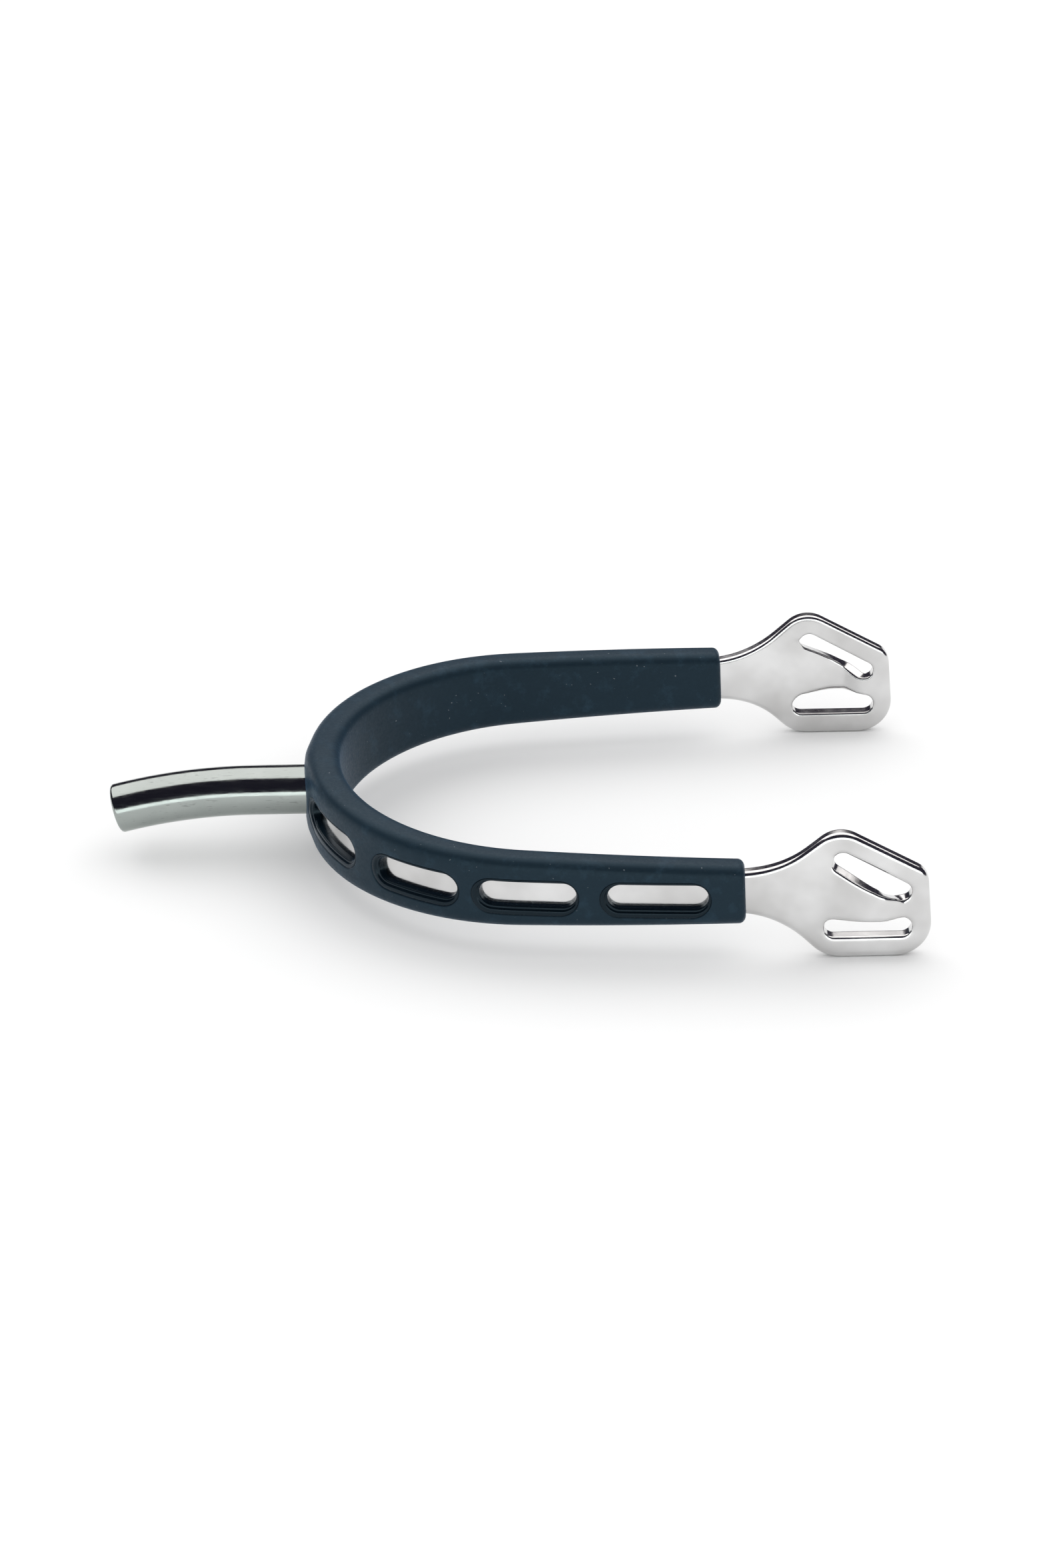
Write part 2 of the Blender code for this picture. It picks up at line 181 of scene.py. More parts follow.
# Section through a window's stepped lip: share of the way from the rim to the opening, depth in millimetres
WINDOW_SECTION = (
    (-0.17, 0.0),
    (-0.07, 0.01),
    (0.0, 0.13),
    (0.04, 0.15),
    (0.10, 0.07),
    (0.18, 0.05),
    (0.42, 0.06),
    (0.55, 0.10),
    (0.62, 0.18),
    (0.70, 0.33),
    (0.74, 0.37),
    (0.80, 0.36),
    (0.88, 0.38),
    (0.95, 0.45),
    (0.99, 0.58),
    (1.0, 0.75),
)

# Mesh spacing
OUTLINE_SPACING = 0.8 * MM
BAND_SPACING = 0.9 * MM
COVER_SPACING = 0.85 * MM
FILLET_STEP = math.radians(7)
ROUND_STEP = math.radians(9)
EDGE_MARGIN = 0.7  # loose points keep this share of the spacing away from a region's edges
MERGE_DISTANCE = 1e-6
SHARP_ANGLE = math.radians(50)

# Colours, each as its darkest and lightest tone
STEEL_TONES = ((0.55, 0.545, 0.54), (0.76, 0.76, 0.76))
# painted shade: the neck's tones are darker than the band's steel, standing in for the shaded floor that the
# neck's lower side reflects
NECK_SHADED_TONES = ((0.31, 0.34, 0.325), (0.38, 0.41, 0.395))
RUBBER_TONES = ((0.0036, 0.0120, 0.0205), (0.0060, 0.0175, 0.0290))
PAPER_TONES = ((0.88, 0.88, 0.88), (0.91, 0.91, 0.91))
SCRATCH_COLOUR = (0.16, 0.17, 0.165)
SCUFF_COLOUR = (0.030, 0.070, 0.110)
DUST_COLOUR = (0.30, 0.32, 0.34)
# painted shade: near-black colour standing in for the shade inside the windows and the neck's hole
WELL_PAINTED_SHADE_COLOUR = (0.0012, 0.0040, 0.0070)

# Camera, as the object is seen in a catalogue: almost square to the side, looking down
CAMERA_AZIMUTH = math.radians(-0.715)
CAMERA_ELEVATION = math.radians(27.513)
CAMERA_ROLL = math.radians(-0.854)
CAMERA_DISTANCE = 953.2 * MM
CAMERA_LENS = 121.1
CAMERA_CLIP = (0.05, 20.0)
CAMERA_AIM = Vector((2.15, 0.0, 0.1)) * MM  # from the middle of the object

# Light panels: width and height, and radiance in W per square metre and steradian
TOP_PANEL_DISTANCE = 0.9
TOP_PANEL_ELEVATION = math.radians(65)
TOP_PANEL_SIZE = (1.9, 1.24)
TOP_SHINE = 1.75
TOP_SHINE_COLOUR = (1.0, 0.975, 0.955)
TOP_GLOW = 1.1
FRONT_PANEL_MIDDLE = (0.0, -1.3, 0.17)
FRONT_PANEL_SIZE = (2.6, 0.34)
FRONT_SHINE = 2.3
FRONT_COLOUR = (0.96, 1.0, 0.985)
ROOM_COLOUR = (1.0, 1.0, 1.0)
MIRRORED_ROOM_COLOUR = (0.024, 0.022, 0.036)

FLOOR_HALF_SIZE = 4.0
FLOOR_GAP = 0.05 * MM


# ---------------------------------------------------------------- plan curve and flat frame


def smooth_step(value, limits):
    share = min(max((value - limits[0]) / (limits[1] - limits[0]), 0.0), 1.0)
    return share * share * (3 - 2 * share)


def plan_curve(arc_length):
    """Distance ahead, distance aside and turning angle at an arc length counted along one branch."""
    heel_angle = min(arc_length, HEEL_ARC) / HEEL_RADIUS
    bowed = min(max(arc_length - HEEL_ARC, 0.0), BRANCH_ARC)
    angle = heel_angle + bowed / BRANCH_RADIUS
    straight = max(arc_length - HEEL_ARC - BRANCH_ARC, 0.0)
    ahead = HEEL_RADIUS * (1 - math.cos(heel_angle)) + straight
    aside = HEEL_RADIUS * math.sin(heel_angle)
    if bowed:
        ahead += BRANCH_RADIUS * (math.cos(HEEL_ANGLE) - math.cos(angle))
        aside += BRANCH_RADIUS * (math.sin(angle) - math.sin(HEEL_ANGLE))
    return ahead, aside, angle


LOOP_LEAD = STRAIGHT_ARC - plan_curve(STRAIGHT_ARC)[0]  # arc length minus distance ahead, in a loop
BAND_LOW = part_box("heel_band")[0]
HEEL_BACK = Vector((BAND_LOW[0] + BAND_THICKNESS / 2, 0, BAND_LOW[2] - LOOP_BOTTOM))


def bend(flat):
    """The place in the spur of a point given as arc length, outward offset and height."""
    ahead, aside, angle = plan_curve(abs(flat.x))
    side = math.copysign(1, flat.x)
    x = ahead - math.cos(angle) * flat.y
    y = side * (aside + math.sin(angle) * flat.y)
    return HEEL_BACK + Vector((x, y, flat.z))


def in_loop(point):
    """A loop's point given by its distance ahead, as a point given by its arc length."""
    return point[0] + LOOP_LEAD, point[1]


def slot_middle_height(slot, ahead):
    """Height of a slot's middle line at a distance ahead."""
    (x0, z0), (x1, z1), _ = slot
    return z0 + (z1 - z0) * (ahead - x0) / (x1 - x0)


def web_share(ahead):
    """How fully the web between the slots bows out at a distance ahead."""
    return smooth_step(ahead, WEB_RISE) * (1 - smooth_step(ahead, WEB_FALL))


def stand_out(arc_length, height):
    """How far the band's middle stands outside the plan curve: the loops' joggle and the bowed web."""
    length = abs(arc_length)
    ahead = length - LOOP_LEAD
    bow = WEB_BOW * web_share(ahead)
    if bow:
        over = height - slot_middle_height(LOWER_SLOT, ahead)
        under = slot_middle_height(UPPER_SLOT, ahead) - height
        bow *= smooth_step(min(over, under), (0, WEB_FADE))
    return LOOP_JOGGLE * smooth_step(length, JOGGLE_ARC) + bow


def form_band(flat):
    """Moves a point of the flat blank out with the band's middle, square to it, and bends it."""
    step = 0.05 * MM
    rise = stand_out(flat.x + step, flat.z) - stand_out(flat.x - step, flat.z)
    slope = rise / (2 * step)
    across = flat.y / math.hypot(1, slope)
    middle = stand_out(flat.x, flat.z)
    return bend(Vector((flat.x - slope * across, middle + across, flat.z)))


# ---------------------------------------------------------------- outlines


def arc_points(centre, radius, start, end, step):
    """Points of an arc, each with the normal to the left of the path, which runs from start to end."""
    turn = end - start
    count = max(1, math.ceil(abs(turn) / step))
    points = []
    for i in range(count + 1):
        heading = start + turn * i / count
        left = Vector((-math.sin(heading), math.cos(heading)))
        points.append((centre - math.copysign(radius, turn) * left, left))
    return points


def join_runs(arcs, spacing):
    """A closed outline through arcs that are joined by straight runs."""
    outline = []
    for arc, following in zip(arcs, arcs[1:] + arcs[:1]):
        start, left = arc[-1]
        end = following[0][0]
        count = max(1, round((end - start).length / spacing))
        outline += arc
        outline += [(start.lerp(end, i / count), left) for i in range(1, count)]
    return outline


def rounded_polygon(corners, spacing):
    """A closed outline from corners with fillet radii, in an order that keeps the material on the left."""
    arcs = []
    for i, (x, z, radius) in enumerate(corners):
        here = Vector((x, z))
        before = here - Vector(corners[i - 1][:2])
        after = Vector(corners[(i + 1) % len(corners)][:2]) - here
        start = math.atan2(before.y, before.x)
        turn = -before.angle_signed(after)
        tangent = here - before.normalized() * radius * math.tan(abs(turn) / 2)
        left = Vector((-math.sin(start), math.cos(start)))
        centre = tangent + math.copysign(radius, turn) * left
        step = min(FILLET_STEP, spacing / radius)
        arcs.append(arc_points(centre, radius, start, start + turn, step))
    return join_runs(arcs, spacing)


def slot_outline(first, last, radius, spacing):
    """A round-ended slot, walked clockwise, so that the material is on the left."""
    first, last = Vector(first), Vector(last)
    along = last - first
    heading = math.atan2(along.y, along.x)
    arcs = [
        arc_points(last, radius, heading, heading - math.pi, ROUND_STEP),
        arc_points(first, radius, heading - math.pi, heading - 2 * math.pi, ROUND_STEP),
    ]
    return join_runs(arcs, spacing)


def mirrored(outline):
    """The same outline on the other branch, walked so that the material stays on the left."""
    return [(Vector((-p.x, p.y)), Vector((-n.x, n.y))) for p, n in reversed(outline)]


# ---------------------------------------------------------------- mesh helpers


def bridge(mesh, first, second, closed=True):
    """Quads between two rows that have the same number of vertices."""
    for i in range(len(first) if closed else len(first) - 1):
        j = (i + 1) % len(first)
        mesh.faces.new((first[i], first[j], second[j], second[i]))


def inside(points, rings):
    """Which points lie inside the first ring and outside the others, by counting crossings."""
    crossings = np.zeros(len(points), int)
    for ring in rings:
        for (x0, z0), (x1, z1) in zip(ring, np.roll(ring, -1, axis=0)):
            spans = (z0 > points[:, 1]) != (z1 > points[:, 1])
            if z0 != z1:
                crossings += spans & (points[:, 0] < x0 + (points[:, 1] - z0) * (x1 - x0) / (z1 - z0))
    return crossings % 2 == 1


def inner_points(rings, spacing):
    """Evenly staggered points inside a region, not close to its edges."""
    low, high = rings[0].min(axis=0), rings[0].max(axis=0)
    rows = np.arange(low[1], high[1], spacing * math.sqrt(3) / 2)
    points = []
    for i, z in enumerate(rows):
        xs = np.arange(low[0] + spacing / 2 * (i % 2), high[0], spacing)
        points.append(np.column_stack([xs, np.full(len(xs), z)]))
    points = np.concatenate(points)
    points = points[inside(points, rings)]
    edge = np.concatenate(rings)
    gap = np.array([np.hypot(*(edge - p).T).min() for p in points])
    return points[gap > EDGE_MARGIN * spacing]


def covers_hole(corners, owners, points, rings):
    """Whether a triangle has all its corners on one hole's ring and lies inside that ring."""
    owner = owners[corners[0]]
    if not owner or any(owners[i] != owner for i in corners):
        return False
    centre = sum((points[i] for i in corners), Vector((0, 0))) / 3
    return inside(np.array([centre]), [rings[owner]])[0]


INSIDE_CONSTRAINTS = 1  # asks delaunay_2d_cdt for the triangles inside the outermost ring


def fill_region(mesh, vertex_rings, spacing, offset_at):
    """Even triangles over the face inside the first ring and outside the others."""
    rings = [np.array([(v.co.x, v.co.z) for v in ring]) / MM for ring in vertex_rings]
    extra = inner_points(rings, spacing / MM)
    vertices = [v for ring in vertex_rings for v in ring]
    vertices += [mesh.verts.new((s * MM, offset_at(s * MM, z * MM), z * MM)) for s, z in extra]
    edges, owners = [], []
    for index, ring in enumerate(rings):
        start, count = len(owners), len(ring)
        edges += [(start + i, start + (i + 1) % count) for i in range(count)]
        owners += [index] * count
    owners += [0] * len(extra)
    flat = [Vector(p) for p in np.concatenate([*rings, extra])]
    triangles, sources = delaunay_2d_cdt(flat, edges, [], INSIDE_CONSTRAINTS, MERGE_DISTANCE)[2:4]
    for triangle in triangles:
        corners = [sources[i][0] for i in triangle]
        if not covers_hole(corners, owners, flat, rings):
            mesh.faces.new([vertices[i] for i in corners])


def add_piece(name, mesh, material, node):
    """An object from a bmesh that stands for a CAD node, smooth except at real edges."""
    bmesh.ops.recalc_face_normals(mesh, faces=mesh.faces)
    if mesh.calc_volume(signed=True) < 0:
        bmesh.ops.reverse_faces(mesh, faces=mesh.faces)
    data = bpy.data.meshes.new(name)
    mesh.to_mesh(data)
    mesh.free()
    data.shade_smooth()
    data.set_sharp_from_angle(angle=SHARP_ANGLE)
    data.materials.append(material)
    piece = bpy.data.objects.new(name, data)
    bpy.context.scene.collection.objects.link(piece)
    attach(piece, BODY)
    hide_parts(node)
    return piece


# ---------------------------------------------------------------- steel band


def rim_section(radii):
    """Inset and drop from the face of a buffed rim, from the side of the plate to its flat face."""
    tight_radius, crown_radius = radii
    tight_inset = tight_radius * (1 - math.sin(CROWN_ANGLE))
    crown_drop = crown_radius * (1 - math.cos(CROWN_ANGLE))
    section = [(0.0, crown_drop + tight_radius * math.cos(CROWN_ANGLE) + WALL_SUPPORT)]
    for i in range(TIGHT_STEPS):
        tilt = math.pi / 2 + (CROWN_ANGLE - math.pi / 2) * i / TIGHT_STEPS
        inset = tight_radius * (1 - math.sin(tilt))
        drop = crown_drop + tight_radius * (math.cos(CROWN_ANGLE) - math.cos(tilt))
        section.append((inset, drop))
    for i in range(CROWN_STEPS + 1):
        tilt = CROWN_ANGLE * (1 - i / CROWN_STEPS)
        inset = tight_inset + crown_radius * (math.sin(CROWN_ANGLE) - math.sin(tilt))
        drop = crown_radius * (1 - math.cos(tilt))
        section.append((inset, drop))
    return section


def web_edge_share(point, towards_material):
    """How far an edge point of the lower slot belongs to the rounded edge of the bowed web."""
    return smooth_step(towards_material.y, WEB_EDGE_FACING) * web_share(abs(point.x) - LOOP_LEAD)


def rim_rings(mesh, outline, side, radii, has_web_edge):
    """Rings of a rounded rim from its wall to the flat face, on the outer side, 1, or the inner side, -1."""
    columns = []
    for point, towards_material in outline:
        share = web_edge_share(point, towards_material) if has_web_edge else 0.0
        local_radii = [narrow + (wide - narrow) * share for narrow, wide in zip(radii, WEB_RIM)]
        column = []
        for inset, drop in rim_section(local_radii):
            s, z = point + towards_material * inset
            column.append(mesh.verts.new((s, side * (BAND_THICKNESS / 2 - drop), z)))
        columns.append(column)
    return list(zip(*columns))


def band_outlines(spacing):
    """Outlines of the blank, each with its outer and inner rim radii and whether the web ends at it."""
    right = [(*in_loop(corner), corner[2]) for corner in LOOP_CORNERS]
    left = [(-s, z, radius) for s, z, radius in reversed(right)]
    bottom = (0.0, -BACK_HALF_HEIGHT, BACK_BLEND_RADIUS)
    top = (0.0, BACK_HALF_HEIGHT, BACK_BLEND_RADIUS)
    rim = rounded_polygon([bottom, *right, top, *left], spacing)
    upper, lower = (
        slot_outline(in_loop(first), in_loop(last), radius, spacing)
        for first, last, radius in (UPPER_SLOT, LOWER_SLOT)
    )
    hole = arc_points(Vector((0, 0)), TENON_RADIUS + SNUG, 0, -2 * math.pi, ROUND_STEP)
    slot_rims = (OUTER_SLOT_RIM, INNER_SLOT_RIM)
    plain_holes = [upper, mirrored(upper), hole[:-1]]
    return [
        (rim, OUTER_RIM, INNER_RIM, False),
        *((outline, *slot_rims, False) for outline in plain_holes),
        *((outline, *slot_rims, True) for outline in (lower, mirrored(lower))),
    ]


def make_band(material):
    """The polished band with crowned rims, bowed webs and joggled loops."""
    mesh = bmesh.new()
    half = BAND_THICKNESS / 2
    outer_rings, inner_rings = [], []
    for outline, outer_radii, inner_radii, has_web_edge in band_outlines(OUTLINE_SPACING):
        outer = rim_rings(mesh, outline, 1, outer_radii, has_web_edge)
        inner = rim_rings(mesh, outline, -1, inner_radii, has_web_edge)
        rings = outer[::-1] + inner
        for first, second in zip(rings, rings[1:]):
            bridge(mesh, first, second)
        outer_rings.append(rings[0])
        inner_rings.append(rings[-1])
    fill_region(mesh, outer_rings, BAND_SPACING, lambda s, z: half)
    fill_region(mesh, inner_rings, BAND_SPACING, lambda s, z: -half)
    for vertex in mesh.verts:
        vertex.co = form_band(vertex.co)
    return add_piece("steel_band", mesh, material, "heel_band")


# ---------------------------------------------------------------- neck


def neck_frame(length):
    """Point of the neck's axis and its downward heading, at a length along the bend, negative before it."""
    if length < 0:
        return HEEL_BACK + Vector((NECK_STRAIGHT_END - length, 0, 0)), 0.0
    heading = length / NECK_BEND_RADIUS
    x = NECK_STRAIGHT_END - NECK_BEND_RADIUS * math.sin(heading)
    z = -NECK_BEND_RADIUS * (1 - math.cos(heading))
    return HEEL_BACK + Vector((x, 0, z)), heading


def add_circle(mesh, length, radius):
    """A ring round the neck's axis."""
    centre, heading = neck_frame(length)
    up = Vector((-math.sin(heading), 0, math.cos(heading)))
    side = Vector((0, 1, 0))
    angles = [2 * math.pi * i / NECK_SIDES for i in range(NECK_SIDES)]
    return [mesh.verts.new(centre + radius * (math.cos(a) * side + math.sin(a) * up)) for a in angles]


def neck_section():
    """Length along the bend and radius of each ring, from the tenon's end to the tip."""
    shoulder = NECK_STRAIGHT_END + BAND_THICKNESS / 2 + SNUG
    tenon_end = NECK_STRAIGHT_END - BAND_THICKNESS / 2
    section = [
        (tenon_end, TENON_RADIUS - TENON_EDGE),
        (tenon_end + TENON_EDGE, TENON_RADIUS),
        (shoulder, TENON_RADIUS),
        (shoulder, NECK_RADIUS - NECK_SHOULDER_EDGE),
        (shoulder + NECK_SHOULDER_EDGE, NECK_RADIUS),
    ]
    rod_start = shoulder + NECK_SHOULDER_SUPPORT
    rod_end = NECK_BEND_LENGTH - NECK_TIP_EDGE
    for i in range(NECK_RINGS + 1):
        section.append((rod_start + (rod_end - rod_start) * i / NECK_RINGS, NECK_RADIUS))
    for i in range(1, NECK_TIP_STEPS + 1):
        tilt = math.pi / 2 * i / NECK_TIP_STEPS
        radius = NECK_RADIUS - NECK_TIP_EDGE * (1 - math.cos(tilt))
        section.append((rod_end + NECK_TIP_EDGE * math.sin(tilt), radius))
    for share in NECK_TIP_FACE:
        section.append((NECK_BEND_LENGTH, (NECK_RADIUS - NECK_TIP_EDGE) * share))
    return section


def make_neck(material):
    """The round neck with its hidden tenon and a flat tip with a rounded edge."""
    mesh = bmesh.new()
    rings = [add_circle(mesh, length, radius) for length, radius in neck_section()]
    for first, second in zip(rings, rings[1:]):
        bridge(mesh, first, second)
    mesh.faces.new(rings[0])
    mesh.faces.new(rings[-1])
    return add_piece("round_neck", mesh, material, "neck")


# ---------------------------------------------------------------- rubber cover


def cover_half_height(arc_length):
    return COVER_BACK_HALF_HEIGHT - COVER_TAPER * abs(arc_length)


def corner_drop(height, half_height, radius):
    """How far a rounded corner has fallen away from its face at a height."""
    over = max(abs(height) - (half_height - radius), 0.0)
    return radius - math.sqrt(max(radius**2 - over**2, 0.0))


def rounded_section(half_width, half_height, radius):
    """Offset and height of a rounded rectangle's points, in two runs.

    The first run goes from the outer face's upper rim over the top, the inner face and the bottom to the
    outer face's lower rim. The second run is the outer face itself, from below, without its rims. The rims
    lie a little way round the corners.
    """
    steps = 7

    def corner(side, top, angle):
        centre = Vector((side * (half_width - radius), top * (half_height - radius)))
        return centre + radius * Vector((math.cos(angle), math.sin(angle)))

    quarter = math.pi / 2
    wrap = [corner(1, 1, FACE_RIM + (quarter - FACE_RIM) * i / steps) for i in range(steps + 1)]
    turns = ((-1, 1, quarter, 2), (-1, -1, 2 * quarter, 8), (1, -1, 3 * quarter, 2))
    for side, top, start, straight_steps in turns:
        end = corner(side, top, start)
        wrap += [wrap[-1].lerp(end, i / straight_steps) for i in range(1, straight_steps)]
        turn = quarter if side < 0 else quarter - FACE_RIM
        wrap += [corner(side, top, start + turn * i / steps) for i in range(steps + 1)]
    heights = [half_height * share for share in FACE_SHARES]
    face = [Vector((half_width - corner_drop(z, half_height, radius), z)) for z in heights]
    return wrap, face


def add_section_row(mesh, arc_length, section):
    """A row of vertices across the flat cover."""
    slant = COVER_END_SLANT * (arc_length / COVER_END) ** COVER_SLANT_POWER
    return [mesh.verts.new((arc_length - slant * z, offset, z)) for offset, z in section]


def cover_skin(mesh, stations, section_at, offset_at, holes):
    """One closed skin of the cover, outer or tunnel, open at both ends and at the holes in its outer face.

    Stations are arc lengths. The first and last END_ROWS of them are rounded ends without holes.
    """
    rows = []
    for index, arc_length in enumerate(stations):
        wrap, face = section_at(arc_length)
        is_end = index < END_ROWS or index >= len(stations) - END_ROWS
        face_row = add_section_row(mesh, arc_length, face) if is_end else []
        rows.append((add_section_row(mesh, arc_length, wrap), face_row))
    for (wrap, face), (next_wrap, next_face) in zip(rows, rows[1:]):
        bridge(mesh, wrap, next_wrap, closed=False)
        if face and next_face:
            loop = [wrap[-1], *face, wrap[0]]
            next_loop = [next_wrap[-1], *next_face, next_wrap[0]]
            bridge(mesh, loop, next_loop, closed=False)
    first, last = END_ROWS - 1, len(rows) - END_ROWS
    upper = [rows[i][0][0] for i in range(first, last + 1)]
    lower = [rows[i][0][-1] for i in range(first, last + 1)]
    rim = upper + rows[last][1][::-1] + lower[::-1] + rows[first][1]
    fill_region(mesh, [rim, *holes], COVER_SPACING, offset_at)
    return [*rows[0][0], *rows[0][1]], [*rows[-1][0], *rows[-1][1]]


def cover_stations():
    """Arc lengths of the cover's rings, close together in the rounded ends."""
    inner_end = COVER_END - COVER_END_EDGE
    middle = [inner_end * (2 * i / COVER_STATIONS - 1) for i in range(COVER_STATIONS + 1)]
    rounding = []
    for i in range(1, END_STEPS + 1):
        tilt = math.pi / 2 * i / END_STEPS
        rounding.append(inner_end + COVER_END_EDGE * math.sin(tilt))
    return [-s for s in reversed(rounding)] + middle + rounding


def end_inset(arc_length):
    """How far the cover's outer section is drawn in near its rounded ends."""
    beyond = abs(arc_length) - (COVER_END - COVER_END_EDGE)
    if beyond <= 0:
        return 0.0
    return COVER_END_EDGE - math.sqrt(max(COVER_END_EDGE**2 - beyond**2, 0.0))


def outer_section(arc_length):
    inset = end_inset(arc_length)
    height = cover_half_height(arc_length)
    return rounded_section(COVER_THICKNESS / 2 - inset, height - inset, COVER_CORNER - inset / 2)


def outer_face(arc_length, height):
    """Outward offset of the cover's outer face, without its boss."""
    return COVER_THICKNESS / 2 - corner_drop(height, cover_half_height(arc_length), COVER_CORNER)


def raise_boss(vertex):
    """Moves a point of the cover's skin out to the boss that flares round the neck."""
    distance = math.hypot(vertex.co.x, vertex.co.z)
    share = smooth_step(vertex.co.y, (BAND_THICKNESS / 2, COVER_THICKNESS / 2))
    vertex.co.y += BOSS_HEIGHT * share * (1 - smooth_step(distance, BOSS_FLARE))


def tunnel_section(arc_length):
    height = cover_half_height(arc_length) - TUNNEL_WALL
    return rounded_section(BAND_THICKNESS / 2 + SNUG, height, TUNNEL_CORNER)


def tunnel_face(arc_length, height):
    """Outward offset of the tunnel's outer side."""
    drop = corner_drop(height, cover_half_height(arc_length) - TUNNEL_WALL, TUNNEL_CORNER)
    return BAND_THICKNESS / 2 + SNUG - drop


def window_outline(first, last, heights):
    """A round-ended outline between two arc lengths and two heights, always with as many points."""
    radius = (heights[1] - heights[0]) / 2
    middle = sum(heights) / 2
    length = last - first - 2 * radius
    ends = (first + radius, middle), (last - radius, middle)
    return [point for point, _ in slot_outline(*ends, radius, length / WINDOW_STRAIGHT_STEPS)]


def mark_well_gloss_and_shade(mesh, ring, share):
    """Says how far a ring belongs to the glossy inside of an opening in the cover, which is also darkened
    with painted shade.
    """
    layer = mesh.verts.layers.float[WELL]
    for vertex in ring:
        vertex[layer] = share


def window_rings(mesh, start, end):
    """Rings of one window from the cover's face over its stepped lip and down to the tunnel."""
    first, last = sorted((start, end))
    insets = WINDOW_OPENING_INSETS if start > 0 else WINDOW_OPENING_INSETS[::-1]
    rim = window_outline(first, last, WINDOW_RIM_HEIGHTS)
    opening = window_outline(first + insets[0], last - insets[1], WINDOW_OPENING_HEIGHTS)
    rings = []
    for share, depth in WINDOW_SECTION:
        ring = [outer.lerp(inner, share) for outer, inner in zip(rim, opening)]
        rings.append([mesh.verts.new((s, outer_face(s, z) - depth * MM, z)) for s, z in ring])
        # painted shade: the lip and wall darken towards the opening, along with their gloss
        mark_well_gloss_and_shade(mesh, rings[-1], smooth_step(share, WELL_EDGE))
    ring = [outer.lerp(inner, 1 + WINDOW_DRAFT) for outer, inner in zip(rim, opening)]
    rings.append([mesh.verts.new((s, BAND_THICKNESS / 2 + SNUG, z)) for s, z in ring])
    mark_well_gloss_and_shade(mesh, rings[-1], 1.0)
    for high, low in zip(rings, rings[1:]):
        bridge(mesh, high, low)
    return rings[0], rings[-1]


def neck_hole_rings(mesh):
    """Rings of the round hole for the neck, with a softened mouth."""
    face = COVER_THICKNESS / 2
    layers = [(NECK_RADIUS + gap * MM, face - depth * MM) for gap, depth in NECK_HOLE_SECTION]
    layers.append((NECK_RADIUS + NECK_HOLE_GAP, BAND_THICKNESS / 2 + SNUG))
    rings = []
    for radius, offset in layers:
        ring = []
        for i in range(NECK_HOLE_SIDES):
            angle = -2 * math.pi * i / NECK_HOLE_SIDES
            aside = radius * math.cos(angle)
            arc_length = HEEL_RADIUS * math.asin(aside / (HEEL_RADIUS + offset))
            ring.append(mesh.verts.new((arc_length, offset, radius * math.sin(angle))))
        # painted shade: the inside of the neck's hole is darkened, along with its gloss
        mark_well_gloss_and_shade(mesh, ring, 1.0 if offset < face else 0.0)
        rings.append(ring)
    for high, low in zip(rings, rings[1:]):
        bridge(mesh, high, low)
    return rings[0], rings[-1]


def make_cover(material):
    """The rubber cover: an outer skin and a tunnel skin, joined at the ends, the windows and the neck."""
    mesh = bmesh.new()
    mesh.verts.layers.float.new(WELL)
    holes = [neck_hole_rings(mesh)]
    for start, end in WINDOWS:
        holes.append(window_rings(mesh, start, end))
        holes.append(window_rings(mesh, -start, -end))
    stations = cover_stations()
    outer_ends = cover_skin(mesh, stations, outer_section, outer_face, [high for high, _ in holes])
    tunnel_ends = cover_skin(mesh, stations, tunnel_section, tunnel_face, [low for _, low in holes])
    for outer, tunnel in zip(outer_ends, tunnel_ends):
        bridge(mesh, outer, tunnel)
    for vertex in mesh.verts:
        raise_boss(vertex)
        vertex.co = bend(vertex.co)
    return add_piece("rubber_sleeve", mesh, material, "rubber_cover")


# ---------------------------------------------------------------- materials


def new_material(name):
    material = bpy.data.materials.new(name)
    material.use_nodes = True
    tree = material.node_tree
    return material, tree, tree.nodes["Principled BSDF"]


def add_node(tree, kind, values=None, **settings):
    """A node with its settings and constant inputs."""
    node = tree.nodes.new(kind)
    for key, value in settings.items():
        setattr(node, key, value)
    for key, value in (values or {}).items():
        node.inputs[key].default_value = value
    return node


def noise(tree, coordinates, scale, detail=2.0, roughness=0.5, distortion=0.0):
    """The value output of a 3-D noise with a scale in features per metre."""
    values = {"Scale": scale, "Detail": detail, "Roughness": roughness, "Distortion": distortion}
    node = add_node(tree, "ShaderNodeTexNoise", values)
    tree.links.new(coordinates, node.inputs["Vector"])
    return node.outputs["Fac"]


def stretch(tree, coordinates, factors):
    """Coordinates scaled along each axis, to draw a texture out."""
    node = add_node(tree, "ShaderNodeMapping", {"Scale": factors})
    tree.links.new(coordinates, node.inputs["Vector"])
    return node.outputs["Vector"]


def remap(tree, value, from_min, from_max, to_min, to_max):
    """A value mapped from one range to another and clamped."""
    values = {"From Min": from_min, "From Max": from_max, "To Min": to_min, "To Max": to_max}
    node = add_node(tree, "ShaderNodeMapRange", values)
    tree.links.new(value, node.inputs["Value"])
    return node.outputs["Result"]


def blend_colour(tree, share, first, second):
    """A colour between two, each a constant or a socket."""
    node = add_node(tree, "ShaderNodeMix", data_type="RGBA")
    tree.links.new(share, node.inputs["Factor"])
    for socket, colour in (("A", first), ("B", second)):
        target = next(i for i in node.inputs if i.name == socket and i.type == "RGBA")
        if isinstance(colour, tuple):
            target.default_value = (*colour, 1)
        else:
            tree.links.new(colour, target)
    return next(o for o in node.outputs if o.type == "RGBA")


def blend_value(tree, share, first, second):
    """A value between two sockets."""
    node = add_node(tree, "ShaderNodeMix", data_type="FLOAT")
    for name, socket in (("Factor", share), ("A", first), ("B", second)):
        target = next(i for i in node.inputs if i.name == name and i.type == "VALUE")
        tree.links.new(socket, target)
    return next(o for o in node.outputs if o.type == "VALUE")


